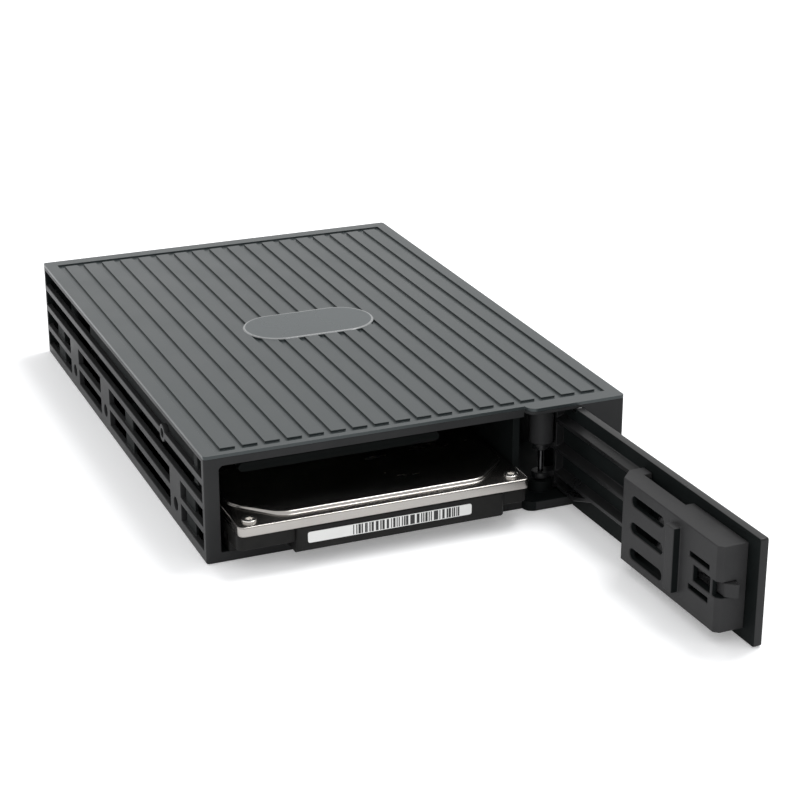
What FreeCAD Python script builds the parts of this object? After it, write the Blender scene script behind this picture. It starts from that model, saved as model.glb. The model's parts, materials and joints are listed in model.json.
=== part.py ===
import FreeCAD, Part
import math
import os

# Lengths are in millimetres and angles in degrees.
# x is measured from the left side, y from the front face, z from the underside.
# The finished pieces are shifted so that the origin is the centre of the underside.

# Housing, to the outline of a 3.5-inch drive
house_w = 101.6
house_l = 147.0
house_h = 25.8
side_wall = 1.4
floor_t = 2.4
frame_t = 1.4
rear_wall = 1.6
post_w = 3.4
lip_h = 2.7
block_lip = 1.6
mouth_corner = 1.2
block_d = 2.4
bay_wall_t = 1.8
bay_wall_l = 112.0
liner_t = 1.0
edge_round = 0.8
same_place = 0.01

# Windows in the side walls, in four rows between thin rails
window_rows = 4
window_h = 4.15
window_z = 2.5
rail_h = 1.65
column_w = 8.5
column_front = 23.25
column_mid = 84.75
column_rear = 31.25
long_rows = 2
side_hole_r = 1.6
side_hole_z = 5.0
ring_y = 32.4
ring_r = 2.1
ring_bore = 1.1

# Guide ribs inside the side walls
guide_front = 13.5
guide_mid = 64.5
guide_rear = 14.0
guide_l = 7.0
guide_h = 10.6
stay_y = 7.2
stay_l = 2.6
stay_z = 16.0

# Standard screw holes in the underside
bottom_side = 3.175
bottom_l = 44.45
bottom_rear = 41.28
bottom_hole_r = 1.4

# Rear wall
vent_n = 14
vent_w = 2.0
vent_h = 8.5
vent_pitch = 4.6
vent_z = 12.5

# Ribbed cover
cover_rim = 0.8
cover_t = 2.0
cover_fit = 0.1
field_deep = 0.5
field_side = 3.15
field_front = 1.7
field_rear = 3.6
rib_n = 18
rib_w = 3.5
rib_side = 1.7
rib_end = 1.75
pad_w = 34.3
pad_l = 18.1
pad_y = 72.25
pad_proud = 0.2
pad_edge = 0.25
bar_x = 10.7
bar_w = 48.8
bar_low = 16.8
bar_h = 2.2
bar_d = 1.8
bar_web = 1.0
bar_gap = 0.65
tower_r = 2.6
tower_inset = 6.5
tower_front = 34.0

# Screws that hold the cover from below
screw_r = 1.1
screw_head_r = 2.2
screw_head_t = 1.1
screw_sunk = 0.3
screw_l = 9.0
screw_play = 0.05

# Hinge, placed as a share of the room beside the bay
hinge_share = 0.286
hinge_y = 4.4
pin_r = 0.6
pin_play = 0.05
boss_r = 2.85
boss_low = 14.6
foot_top = 5.1
knuckle_r = 2.1
knuckle_t = 1.5
knuckle_gap = 0.35
web_w = 3.0
door_open = 91.7

# Door, measured as it stands when shut
door_t = 2.0
door_low = 0.1
door_top = 24.5
door_left = 0.0
door_relief = 0.7
door_round = 0.5
tail_low = 2.7
tail_top = 23.4
jamb_gap = 0.7
swing_gap = 0.6
door_rib_z = (6.0, 12.3, 19.6)
door_rib_t = 1.0
door_rib_d = 2.0
door_rib_rise = 0.7
hub_off = 1.2
strut_start = 19.0
strut_run = 8.0
strut_rise = 2.9

# Latch housing on the inner side of the door
latch_start = 31.0
latch_end = 72.3
latch_low = 2.75
latch_top = 22.2
latch_d = 6.75
latch_wall = 1.4
latch_slope = 3.0
latch_bevel = 1.0
neck_d = 2.0
neck_top = 1.4
neck_in = 3.5
neck_l = 17.0
slot_n = 3
slot_l = 13.3
slot_w = 2.5
slot_start = 37.5
slot_z = 5.9
slot_pitch = 6.2
fin_start = 54.3
fin_w = 3.3
fin_low = 5.5
fin_top = 20.4
fin_d = 1.8
sight_l = 6.5
sight_start = 62.7
slit_l = 7.6
slit_w = 1.2
slit_start = 61.0
slit_off = 3.7

# Latch slider, its thumb pad and its spring
bolt_z = 12.4
bolt_h = 3.1
bolt_t = 2.5
bolt_gap = 0.25
bolt_l = 16.1
bolt_tip = 2.4
bolt_nose = 0.7
bolt_travel = 2.6
sight_block = 1.2
sight_deep = 1.0
thumb_l = 9.0
thumb_h = 6.6
thumb_start = 6.4
thumb_gap = 0.4
thumb_inset = 0.2
thumb_neck = 4.0
thumb_ridge_n = 4
thumb_ridge = 0.5
rail_t = 0.9
spring_l = 6.0
spring_r = 1.25
spring_wire = 0.25
spring_pitch = 1.8
spring_play = 0.05
seat_t = 1.2

# A 2.5-inch drive standing out of the bay as the open door leaves it
drive_w = 69.85
drive_l = 100.45
drive_t = 9.5
drive_x = 5.0
drive_out = 8.2
drive_lift = 0.2
drive_side_gap = 0.3
cover_rim_h = 3.1
cover_step = 0.7
drive_round = 1.5
nose_x = 13.2
nose_w = 50.3
nose_d = 1.5
nose_root = 1.5
nose_round = 1.2
nose_low = 0.8
corner_d = 7.5
corner_h = 2.6
crown_front = 3.0
crown_side = 1.6
crown_cut = 9.2
crown_round = 6.0
cover_screw_in = 3.4
cover_screw_r = 1.7
cover_screw_t = 0.6
label_x = 15.7
label_w = 39.4
label_h = 2.6
label_t = 0.1
label_low = 2.6
drive_hole_r = 1.25
drive_hole_deep = 4.0
drive_hole_z = 3.0
drive_hole_rear = (14.0, 90.6)
pcb_t = 1.0
pcb_in = 7.0
pcb_l = 56.0
pcb_rear = 7.0

# Connectors: a tongue in two lengths, and the slots that take it
plug_z = 3.5
plug_off = 4.8
plug_w = 33.4
plug_h = 4.0
plug_base = 2.0
tongue_t = 1.2
tongue_l = 4.4
tongue_data = 9.6
tongue_power = 20.6
tongue_gap = 2.6
key_t = 1.0
key_h = 0.7
slot_play = 0.45
shroud_side = 1.5
socket_l = 8.0
contact_w = 0.6
contact_t = 0.12
contact_pitch = 1.27
data_n = 7
power_n = 15
dock_gap = 0.4
press_gap = 0.35

# Board that joins the two connectors
board_t = 1.6
board_left = 24.7
board_over = 15.5
board_boss_r = 3.0
board_screw_r = 1.1
board_screw_head = 2.2
board_screw_t = 1.2
board_hole_in = 3.5
host_right = 30.12
host_l = 9.05
host_reach = 1.0
cutout_play = 1.0

# Places worked out from the sizes above
column_y = (column_front, column_mid, house_l - column_rear)
wall_top = house_h - cover_rim
mouth_top = house_h - lip_h
block_top = house_h - block_lip
cover_low = house_h - cover_t
field_low = house_h - field_deep
drive_z = floor_t + drive_lift
bay_x = drive_x + drive_w + drive_side_gap
block_x = bay_x + bay_wall_t
hinge_x = block_x + hinge_share * (house_w - side_wall - block_x)
face_off = hinge_y + block_d
door_right = block_x - door_relief
door_in = door_t - block_d
jamb_x = hinge_x + face_off + jamb_gap
tail_r = math.hypot(jamb_x - hinge_x, face_off - frame_t) - swing_gap
latch_right = door_right - latch_start
latch_left = door_right - latch_end
latch_face = door_in + latch_d
rib_back = door_in + door_rib_d
bay_front = rib_back + swing_gap
press_y = latch_face + fin_d
bolt_y = latch_face - latch_wall - bolt_gap - bolt_t
bar_y = press_y + bar_gap
dock_y = press_y + press_gap
eject_y = -drive_out
tongue_z = drive_z + plug_z
plug_x = drive_x + drive_w / 2 + plug_off
socket_y = dock_y + drive_l - tongue_l + dock_gap
host_x = house_w - host_right
board_x = plug_x - board_left
board_right = host_x + board_over
board_y = socket_y + socket_l
board_end = house_l - host_reach - host_l
board_low = tongue_z - board_t / 2
board_places = (
    (board_x + board_hole_in, board_y + board_hole_in),
    (board_right - board_hole_in, board_end - board_hole_in),
)
tower_places = (
    (house_w - side_wall - tower_inset, tower_front),
    (house_w - side_wall - tower_inset, house_l - rear_wall - tower_inset),
    (side_wall + tower_inset, house_l - rear_wall - tower_inset),
)


def block(x, y, z):
    return Part.makeBox(
        x[1] - x[0], y[1] - y[0], z[1] - z[0], FreeCAD.Vector(x[0], y[0], z[0])
    )


def post(x, y, z, radius):
    return Part.makeCylinder(radius, z[1] - z[0], FreeCAD.Vector(x, y, z[0]))


def rod_x(x, y, z, radius):
    return Part.makeCylinder(
        radius, x[1] - x[0], FreeCAD.Vector(x[0], y, z), FreeCAD.Vector(1, 0, 0)
    )


def prism(points, z):
    wire = Part.makePolygon([FreeCAD.Vector(px, py, z[0]) for px, py in points + points[:1]])
    return Part.Face(wire).extrude(FreeCAD.Vector(0, 0, z[1] - z[0]))


def round_upright(shape, radius):
    # Round the upright edges of a block or prism
    height = shape.BoundBox.ZLength
    edges = [e for e in shape.Edges if e.BoundBox.ZLength > height / 2]
    return shape.makeFillet(radius, edges)


def stadium_flat(x, y, z):
    # A slot with round ends, long in x, cut or raised along z
    radius = (y[1] - y[0]) / 2
    middle = (y[0] + y[1]) / 2
    body = block((x[0] + radius, x[1] - radius), y, z)
    return body.fuse([post(end, middle, z, radius) for end in (x[0] + radius, x[1] - radius)])


def stadium_through(x, y, z):
    # A slot with round ends, long in x, cut along y
    flat = stadium_flat(x, z, (-y[1], -y[0]))
    flat.rotate(FreeCAD.Vector(0, 0, 0), FreeCAD.Vector(1, 0, 0), 90)
    return flat


def joined(shapes):
    return shapes[0].fuse(list(shapes[1:])).removeSplitter()


def house_outline(z):
    # The housing's plan, with the hinge block standing forward and a round step beside it
    corner = FreeCAD.Vector(block_x, 0, z[0])
    bend = FreeCAD.Vector(
        block_x + block_d * (1 - math.sqrt(0.5)), -block_d * math.sqrt(0.5), z[0]
    )
    edge_end = FreeCAD.Vector(block_x + block_d, -block_d, z[0])
    points = [
        edge_end,
        FreeCAD.Vector(house_w, -block_d, z[0]),
        FreeCAD.Vector(house_w, house_l, z[0]),
        FreeCAD.Vector(0, house_l, z[0]),
        FreeCAD.Vector(0, 0, z[0]),
        corner,
    ]
    edges = Part.makePolygon(points).Edges
    edges.append(Part.Arc(corner, bend, edge_end).toShape())
    body = Part.Face(Part.Wire(edges)).extrude(FreeCAD.Vector(0, 0, z[1] - z[0]))
    outer = [
        e
        for e in body.Edges
        if len(e.Vertexes) == 2
        and abs(e.Vertexes[0].Z - e.Vertexes[1].Z) > (z[1] - z[0]) / 2
        and (e.Vertexes[0].X < edge_round or e.Vertexes[0].X > house_w - edge_round)
    ]
    return body.makeFillet(edge_round, outer)


def side_windows(x):
    # The openings of one side wall: long rows above, rows broken by columns below
    cuts = []
    ends = (frame_t + side_wall / 2, house_l - rear_wall)
    for row in range(window_rows):
        low = window_z + row * (window_h + rail_h)
        stops = () if row >= window_rows - long_rows else column_y
        starts = [ends[0]] + [y + column_w / 2 for y in stops]
        finishes = [y - column_w / 2 for y in stops] + [ends[1]]
        for start, finish in zip(starts, finishes):
            cuts.append(block(x, (start, finish), (low, low + window_h)))
    return cuts


def bottom_places():
    rear = house_l - bottom_rear
    return [
        (x, y)
        for x in (bottom_side, house_w - bottom_side)
        for y in (rear - bottom_l, rear)
    ]


def base_shell():
    shell = house_outline((0, wall_top))
    cuts = [
        block(
            (side_wall, house_w - side_wall),
            (frame_t, house_l - rear_wall),
            (floor_t, wall_top),
        ),
        block(
            (block_x + block_d, house_w - side_wall),
            (frame_t - block_d, frame_t),
            (floor_t, wall_top),
        ),
        block((block_x, jamb_x), (-block_d, frame_t), (floor_t, block_top)),
    ]
    mouth = block((post_w, block_x), (0, frame_t), (floor_t, mouth_top))
    corner = [
        e
        for e in mouth.Edges
        if e.CenterOfMass.z > mouth_top - same_place and e.CenterOfMass.x < post_w + same_place
    ]
    cuts.append(mouth.makeFillet(mouth_corner, corner))
    sides = ((0, side_wall), (house_w - side_wall, house_w))
    for side in sides:
        cuts.extend(side_windows(side))
    shell = shell.cut(cuts)

    adds = [block((bay_x, block_x), (bay_front, bay_wall_l), (floor_t, cover_low))]
    guide_in = drive_x - drive_side_gap
    for y in (guide_front, guide_mid, house_l - guide_rear):
        adds.append(
            block(
                (side_wall / 2, guide_in),
                (y - guide_l / 2, y + guide_l / 2),
                (floor_t, floor_t + guide_h),
            )
        )
    adds.append(
        block((side_wall / 2, guide_in), (stay_y, stay_y + stay_l), (stay_z, cover_low))
    )
    adds.append(
        block((guide_in - liner_t, guide_in), (stay_y, bay_wall_l), (floor_t, cover_low))
    )
    ring_z = window_z + (window_rows - 1) * (window_h + rail_h) - rail_h / 2
    for side in sides:
        adds.append(rod_x(side, ring_y, ring_z, ring_r))
    adds.append(post(hinge_x, hinge_y, (floor_t, foot_top), boss_r))
    for x, y in board_places:
        adds.append(post(x, y, (floor_t, board_low), board_boss_r))
    shell = shell.fuse(adds)

    holes = []
    for side in sides:
        holes.append(rod_x(side, ring_y, ring_z, ring_bore))
        for y in column_y:
            holes.append(rod_x(side, y, side_hole_z, side_hole_r))
    for x, y in bottom_places():
        holes.append(post(x, y, (0, floor_t), bottom_hole_r))
    for x, y in tower_places:
        holes.append(post(x, y, (0, floor_t), screw_r + screw_play))
        holes.append(post(x, y, (0, screw_sunk + screw_head_t), screw_head_r + screw_play))
    for x, y in board_places:
        holes.append(post(x, y, (floor_t, board_low), board_screw_r + screw_play))
    holes.append(post(hinge_x, hinge_y, (floor_t, foot_top), pin_r))
    cut_w = plug_w / 2 + shroud_side + cutout_play
    cut_h = plug_h / 2 + cutout_play
    holes.append(
        block(
            (host_x - cut_w, host_x + cut_w),
            (house_l - rear_wall, house_l),
            (tongue_z - cut_h, tongue_z + cut_h),
        )
    )
    first_vent = (house_w - (vent_n - 1) * vent_pitch) / 2
    for i in range(vent_n):
        x = first_vent + i * vent_pitch
        holes.append(
            block(
                (x - vent_w / 2, x + vent_w / 2),
                (house_l - rear_wall, house_l),
                (vent_z, vent_z + vent_h),
            )
        )
    return shell.cut(holes).removeSplitter()


def top_cover():
    cover = house_outline((wall_top, house_h))
    panel = block(
        (side_wall + cover_fit, house_w - side_wall - cover_fit),
        (frame_t + cover_fit, house_l - rear_wall - cover_fit),
        (cover_low, wall_top),
    )
    field_x = (field_side, house_w - field_side)
    field_y = (field_front, house_l - field_rear)
    field = block(field_x, field_y, (field_low, house_h))
    cover = cover.fuse(panel).cut(field)

    ribs = []
    rib_y = (field_y[0] + rib_end, field_y[1] - rib_end)
    rib_left = field_x[0] + rib_side
    rib_pitch = (field_x[1] - rib_side - rib_w - rib_left) / (rib_n - 1)
    for i in range(rib_n):
        x = rib_left + i * rib_pitch
        ribs.append(block((x, x + rib_w), rib_y, (field_low, house_h)))
    pad = stadium_flat(
        (house_w / 2 - pad_w / 2, house_w / 2 + pad_w / 2),
        (pad_y - pad_l / 2, pad_y + pad_l / 2),
        (field_low, house_h + pad_proud),
    ).removeSplitter()
    brim = [e for e in pad.Edges if e.BoundBox.ZMin > house_h + pad_proud - same_place]
    pad = pad.makeChamfer(pad_edge, brim)
    cover = cover.fuse(ribs + [pad])

    bar_span = (bar_x, bar_x + bar_w)
    bar_depth = (bar_y, bar_y + bar_d)
    bar = stadium_through(bar_span, bar_depth, (bar_low, bar_low + bar_h))
    web = block(
        (bar_span[0] + bar_h / 2, bar_span[1] - bar_h / 2),
        (bar_depth[1] - bar_web, bar_depth[1]),
        (bar_low + bar_h / 2, cover_low),
    )
    boss = post(hinge_x, hinge_y, (boss_low, cover_low), boss_r)
    towers = [post(x, y, (floor_t, cover_low), tower_r) for x, y in tower_places]
    cover = cover.fuse([bar, web, boss] + towers)

    holes = [post(hinge_x, hinge_y, (boss_low, cover_low), pin_r)]
    for x, y in tower_places:
        holes.append(post(x, y, (floor_t, floor_t + screw_l), screw_r + screw_play))
    return cover.cut(holes).removeSplitter()


def cover_screws():
    screws = []
    for x, y in tower_places:
        head = post(x, y, (screw_sunk, screw_sunk + screw_head_t), screw_head_r)
        shank = post(x, y, (screw_sunk, screw_sunk + screw_l), screw_r)
        screws.append(head.fuse(shank).removeSplitter())
    return Part.makeCompound(screws)


def hinge_pin():
    return post(hinge_x, hinge_y, (floor_t, cover_low), pin_r)


def prism_across(points, y):
    # An outline in x and z, drawn out along y
    wire = Part.makePolygon([FreeCAD.Vector(px, y[0], pz) for px, pz in points + points[:1]])
    return Part.Face(wire).extrude(FreeCAD.Vector(0, y[1] - y[0], 0))


def prism_along(points, x):
    # An outline in y and z, drawn out along x
    wire = Part.makePolygon([FreeCAD.Vector(x[0], py, pz) for py, pz in points + points[:1]])
    return Part.Face(wire).extrude(FreeCAD.Vector(x[1] - x[0], 0, 0))


def vent_slots(y):
    # The vents pass through the door's plate and the latch housing alike
    right = door_right - slot_start
    return [
        stadium_through(
            (right - slot_l, right),
            y,
            (slot_z + i * slot_pitch - slot_w / 2, slot_z + i * slot_pitch + slot_w / 2),
        )
        for i in range(slot_n)
    ]


def thumb_slot():
    half = thumb_h / 2 + thumb_gap
    return block(
        (thumb_start - thumb_gap, thumb_start + thumb_l + bolt_travel + thumb_gap),
        (-block_d, door_in),
        (bolt_z - half, bolt_z + half),
    )


def door_panel():
    depth = (-block_d, door_in)
    plate = block((door_left, door_right), depth, (door_low, door_top))
    free_corners = [
        e
        for e in plate.Edges
        if e.BoundBox.YLength > door_t / 2 and e.CenterOfMass.x < door_left + door_round
    ]
    plate = plate.makeFillet(door_round, free_corners)
    tail_z = (tail_low, tail_top)
    tail_end = block((hinge_x, hinge_x + tail_r), depth, tail_z)
    pieces = [
        plate,
        block((door_right, hinge_x), depth, tail_z),
        tail_end.common(post(hinge_x, hinge_y, tail_z, tail_r)),
    ]
    rib_x_span = (latch_right, hinge_x - hub_off)
    rib_depth = (door_in, rib_back)
    for z in door_rib_z:
        pieces.append(
            prism_along(
                [
                    (door_in, z),
                    (rib_back, z),
                    (rib_back, z + door_rib_t),
                    (door_in, z + door_rib_t + door_rib_rise),
                ],
                rib_x_span,
            )
        )
    hub = block((rib_x_span[1] - door_rib_t, rib_x_span[1]), rib_depth, tail_z)
    strut_x = latch_right + strut_start
    strut_z = door_rib_z[0]
    ledge_z = strut_z - strut_rise
    ledge = block(
        (strut_x + strut_run, rib_x_span[1]), rib_depth, (ledge_z, ledge_z + door_rib_t)
    )
    pieces.extend([hub, ledge])
    pieces.append(
        prism_across(
            [
                (strut_x, strut_z),
                (strut_x, strut_z + door_rib_t),
                (strut_x + strut_run, ledge_z + door_rib_t),
                (strut_x + strut_run, ledge_z),
            ],
            rib_depth,
        )
    )
    for low in (foot_top + knuckle_gap, boss_low - knuckle_gap - knuckle_t):
        z = (low, low + knuckle_t)
        pieces.append(post(hinge_x, hinge_y, z, knuckle_r))
        pieces.append(
            block((hinge_x - web_w / 2, hinge_x + web_w / 2), (door_in, hinge_y), z)
        )
    panel = joined(pieces)
    holes = vent_slots(depth) + [thumb_slot()]
    holes.append(post(hinge_x, hinge_y, (foot_top, boss_low), pin_r + pin_play))
    return panel.cut(holes).removeSplitter()


def latch_housing():
    shoulder = latch_face - latch_slope
    body = prism(
        [
            (latch_left, door_in),
            (latch_right, door_in),
            (latch_right, shoulder),
            (latch_right - latch_slope, latch_face),
            (latch_left, latch_face),
        ],
        (latch_low, latch_top),
    )
    nose_edge = [
        e
        for e in body.Edges
        if e.BoundBox.ZLength > latch_wall
        and abs(e.CenterOfMass.x - latch_left) < same_place
        and abs(e.CenterOfMass.y - latch_face) < same_place
    ]
    body = body.makeChamfer(latch_bevel, nose_edge)
    cavity = block(
        (latch_left + latch_wall, latch_right - latch_slope - latch_wall),
        (door_in, latch_face - latch_wall),
        (latch_low + latch_wall, latch_top - latch_wall),
    )
    neck_right = latch_right - neck_in
    neck = block(
        (neck_right - neck_l, neck_right),
        (door_in, door_in + neck_d),
        (latch_top - neck_top, latch_top),
    )
    body = body.cut([cavity, neck])

    inner = (bolt_y, latch_face - latch_wall)
    seat_x = bolt_tip + bolt_l + spring_l
    track = bolt_h / 2 + bolt_gap
    adds = [block((seat_x, seat_x + seat_t), inner, (bolt_z - track, bolt_z + track))]
    for low in (bolt_z - track - rail_t, bolt_z + track):
        adds.append(block((latch_left + latch_wall, seat_x + seat_t), inner, (low, low + rail_t)))
    fin_right = door_right - fin_start
    adds.append(
        block((fin_right - fin_w, fin_right), (latch_face, press_y), (fin_low, fin_top))
    )
    body = body.fuse(adds)

    through = (latch_face - latch_wall, latch_face)
    sight_right = door_right - sight_start
    slit_right = door_right - slit_start
    sight_z = bolt_h / 2 + bolt_gap
    holes = vent_slots(through)
    holes.append(
        block((sight_right - sight_l, sight_right), through, (bolt_z - sight_z, bolt_z + sight_z))
    )
    for z in (bolt_z - slit_off, bolt_z + slit_off):
        holes.append(
            block((slit_right - slit_l, slit_right), through, (z - slit_w / 2, z + slit_w / 2))
        )
    holes.append(
        block(
            (latch_left, latch_left + latch_wall + latch_bevel),
            (bolt_y - bolt_gap, latch_face),
            (bolt_z - track, bolt_z + track),
        )
    )
    return body.cut(holes).removeSplitter()


def latch_slider():
    back = bolt_y + bolt_t
    half = (bolt_z - bolt_h / 2, bolt_z + bolt_h / 2)
    bolt_end = bolt_tip + bolt_l
    bar = prism(
        [
            (bolt_end, bolt_y),
            (bolt_tip, bolt_y),
            (bolt_tip, bolt_y + bolt_nose),
            (latch_left, back),
            (bolt_end, back),
        ],
        half,
    )
    sight_left = door_right - sight_start - sight_l + bolt_gap
    sight = block(
        (sight_left, sight_left + sight_block),
        (back, latch_face - sight_deep),
        (half[0] + bolt_gap, half[1] - bolt_gap),
    )
    middle = thumb_start + thumb_l / 2
    neck = block(
        (middle - thumb_neck / 2, middle + thumb_neck / 2), (door_in, bolt_y), half
    )
    face = -block_d + thumb_inset
    thumb = block(
        (thumb_start, thumb_start + thumb_l),
        (face, door_in),
        (bolt_z - thumb_h / 2, bolt_z + thumb_h / 2),
    )
    pieces = [bar, sight, neck, thumb]
    step = thumb_l / (thumb_ridge_n + 1)
    for i in range(thumb_ridge_n):
        x = thumb_start + (i + 1) * step
        pieces.append(
            block(
                (x - thumb_ridge / 2, x + thumb_ridge / 2),
                (face - thumb_ridge, face),
                (bolt_z - thumb_h / 2 + thumb_ridge, bolt_z + thumb_h / 2 - thumb_ridge),
            )
        )
    return joined(pieces)


def latch_spring():
    room = spring_l - 2 * (spring_wire + spring_play)
    helix = Part.makeHelix(spring_pitch, room, spring_r)
    corners = [(-1, -1), (1, -1), (1, 1), (-1, 1), (-1, -1)]
    wire = Part.makePolygon(
        [FreeCAD.Vector(spring_r + a * spring_wire, 0, b * spring_wire) for a, b in corners]
    )
    coil = Part.Wire(helix.Edges).makePipeShell([wire], True, True)
    coil.rotate(FreeCAD.Vector(0, 0, 0), FreeCAD.Vector(0, 1, 0), 90)
    start = bolt_tip + bolt_l + spring_wire + spring_play
    coil.translate(FreeCAD.Vector(start, bolt_y + bolt_t / 2, bolt_z))
    return coil


def tongues(middle, y, grow, key_side):
    # The two tongues of a connector, or with grow the slots that take them
    left = middle - (tongue_data + tongue_gap + tongue_power) / 2
    spans = (
        (left, left + tongue_data),
        (left + tongue_data + tongue_gap, left + tongue_data + tongue_gap + tongue_power),
    )
    thick = (tongue_z - tongue_t / 2 - grow, tongue_z + tongue_t / 2 + grow)
    pieces = []
    for low, high in spans:
        pieces.append(block((low - grow, high + grow), y, thick))
        key = (high - key_t, high) if key_side > 0 else (low, low + key_t)
        pieces.append(block((key[0] - grow, key[1] + grow), y, (thick[0] - key_h, thick[1])))
    return pieces


def contacts(middle, y, z):
    # Flat contacts in a row along each tongue
    left = middle - (tongue_data + tongue_gap + tongue_power) / 2
    groups = (
        (left + tongue_data / 2, data_n),
        (left + tongue_data + tongue_gap + tongue_power / 2, power_n),
    )
    strips = []
    for centre, count in groups:
        for i in range(count):
            x = centre + (i - (count - 1) / 2) * contact_pitch
            strips.append(block((x - contact_w / 2, x + contact_w / 2), y, z))
    return Part.makeCompound(strips)


def adapter_board():
    board = block(
        (board_x, board_right), (board_y, board_end), (board_low, board_low + board_t)
    )
    holes = [
        post(x, y, (board_low, board_low + board_t), board_screw_r + screw_play)
        for x, y in board_places
    ]
    return board.cut(holes)


def board_screws():
    top = board_low + board_t
    screws = []
    for x, y in board_places:
        head = post(x, y, (top, top + board_screw_t), board_screw_head)
        shank = post(x, y, (floor_t, top), board_screw_r)
        screws.append(head.fuse(shank).removeSplitter())
    return Part.makeCompound(screws)


def drive_socket():
    half = plug_w / 2 + shroud_side / 2
    body = block(
        (plug_x - half, plug_x + half),
        (socket_y, socket_y + socket_l),
        (tongue_z - plug_h / 2, tongue_z + plug_h / 2),
    )
    mouth = (socket_y, socket_y + tongue_l + slot_play)
    return body.cut(tongues(plug_x, mouth, slot_play, 1)).removeSplitter()


def socket_tails():
    top = board_low + board_t
    return contacts(plug_x, (board_y, board_y + plug_base), (top, top + contact_t))


def host_plug():
    wide = plug_w / 2 + shroud_side
    tall = plug_h / 2 + cutout_play / 2
    mouth = house_l - host_reach - tongue_l
    body = block(
        (host_x - wide, host_x + wide),
        (board_end, house_l - host_reach),
        (tongue_z - tall, tongue_z + tall),
    )
    rim = shroud_side / 2
    hollow = block(
        (host_x - wide + rim, host_x + wide - rim),
        (mouth, house_l - host_reach),
        (tongue_z - tall + rim, tongue_z + tall - rim),
    )
    keyed = tongues(host_x, (mouth, house_l - host_reach), 0, -1)
    return joined([body.cut(hollow)] + keyed)


def host_contacts():
    mouth = house_l - host_reach - tongue_l
    top = tongue_z + tongue_t / 2
    return contacts(host_x, (mouth, house_l - host_reach - contact_w), (top, top + contact_t))


def drive_base():
    front = eject_y
    rear = eject_y + drive_l
    left = drive_x
    right = drive_x + drive_w
    z = (drive_z, drive_z + drive_t - cover_rim_h)
    body = round_upright(block((left, right), (front + nose_d, rear), z), drive_round)
    nose_span = (left + nose_x, left + nose_x + nose_w)
    nose = block(nose_span, (front, front + nose_d + nose_root), (z[0] + nose_low, z[1]))
    nose = round_upright(nose, nose_round)
    body = joined([body, nose])
    recess_w = plug_w / 2 + shroud_side
    cuts = [
        block(
            (left + pcb_in, right - pcb_in),
            (rear - pcb_rear - pcb_l, rear - pcb_rear),
            (drive_z, drive_z + pcb_t + drive_lift),
        ),
        block(
            (plug_x - recess_w, plug_x + recess_w),
            (rear - plug_base - tongue_l, rear),
            (drive_z, tongue_z + plug_h / 2 + slot_play),
        ),
    ]
    for span in ((left, nose_span[0]), (nose_span[1], right)):
        cuts.append(block(span, (front, front + corner_d), (drive_z, drive_z + corner_h)))
    for back in drive_hole_rear:
        y = rear - back
        height = drive_z + drive_hole_z
        cuts.append(rod_x((left, left + drive_hole_deep), y, height, drive_hole_r))
        cuts.append(rod_x((right - drive_hole_deep, right), y, height, drive_hole_r))
    return body.cut(cuts).removeSplitter()


def drive_cover():
    front = eject_y
    rear = eject_y + drive_l
    left = drive_x
    right = drive_x + drive_w
    low = drive_z + drive_t - cover_rim_h
    step = drive_z + drive_t - cover_step
    plate = round_upright(block((left, right), (front, rear), (low, step)), drive_round)
    x = (left + crown_side, right - crown_side)
    y = (front + crown_front, rear - crown_front)
    crown = prism(
        [
            (x[0] + crown_cut, y[0]),
            (x[1] - crown_cut, y[0]),
            (x[1], y[0] + crown_cut),
            (x[1], y[1] - crown_cut),
            (x[1] - crown_cut, y[1]),
            (x[0] + crown_cut, y[1]),
            (x[0], y[1] - crown_cut),
            (x[0], y[0] + crown_cut),
        ],
        (step, drive_z + drive_t),
    )
    return joined([plate, round_upright(crown, crown_round)])


def drive_cover_screws():
    step = drive_z + drive_t - cover_step
    screws = []
    for x in (drive_x + cover_screw_in, drive_x + drive_w - cover_screw_in):
        for y in (eject_y + cover_screw_in, eject_y + drive_l - cover_screw_in):
            screws.append(post(x, y, (step, step + cover_screw_t), cover_screw_r))
    return Part.makeCompound(screws)


def drive_label():
    left = drive_x + label_x
    low = drive_z + label_low
    return block(
        (left, left + label_w),
        (eject_y - label_t, eject_y),
        (low, low + label_h),
    )


def drive_board():
    rear = eject_y + drive_l
    top = drive_z + pcb_t + drive_lift
    return block(
        (drive_x + pcb_in + drive_lift, drive_x + drive_w - pcb_in - drive_lift),
        (rear - pcb_rear - pcb_l + drive_lift, rear - pcb_rear - drive_lift),
        (top - pcb_t, top),
    )


def drive_plug():
    rear = eject_y + drive_l
    back = rear - tongue_l
    body = block(
        (plug_x - plug_w / 2, plug_x + plug_w / 2),
        (back - plug_base, back),
        (tongue_z - plug_h / 2, tongue_z + plug_h / 2),
    )
    return joined([body] + tongues(plug_x, (back, rear), 0, 1))


def drive_contacts():
    rear = eject_y + drive_l
    top = tongue_z + tongue_t / 2
    return contacts(plug_x, (rear - tongue_l, rear - contact_w), (top, top + contact_t))


def opened(shape):
    # The door stands open on its hinge
    shape.rotate(FreeCAD.Vector(hinge_x, hinge_y, 0), FreeCAD.Vector(0, 0, 1), door_open)
    return shape


def save(name, shape):
    shape.translate(FreeCAD.Vector(-house_w / 2, -house_l / 2, 0))
    shape.exportStep("parts/" + name + ".step")
    print(name, len(shape.Solids), "solids", round(shape.Volume, 1), "mm3", shape.isValid())


os.makedirs("parts", exist_ok=True)
for make in (
    base_shell,
    top_cover,
    cover_screws,
    hinge_pin,
    adapter_board,
    board_screws,
    drive_socket,
    socket_tails,
    host_plug,
    host_contacts,
    drive_base,
    drive_cover,
    drive_cover_screws,
    drive_label,
    drive_board,
    drive_plug,
    drive_contacts,
):
    save(make.__name__, make())
for make in (door_panel, latch_housing, latch_slider, latch_spring):
    save(make.__name__, opened(make()))
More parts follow.
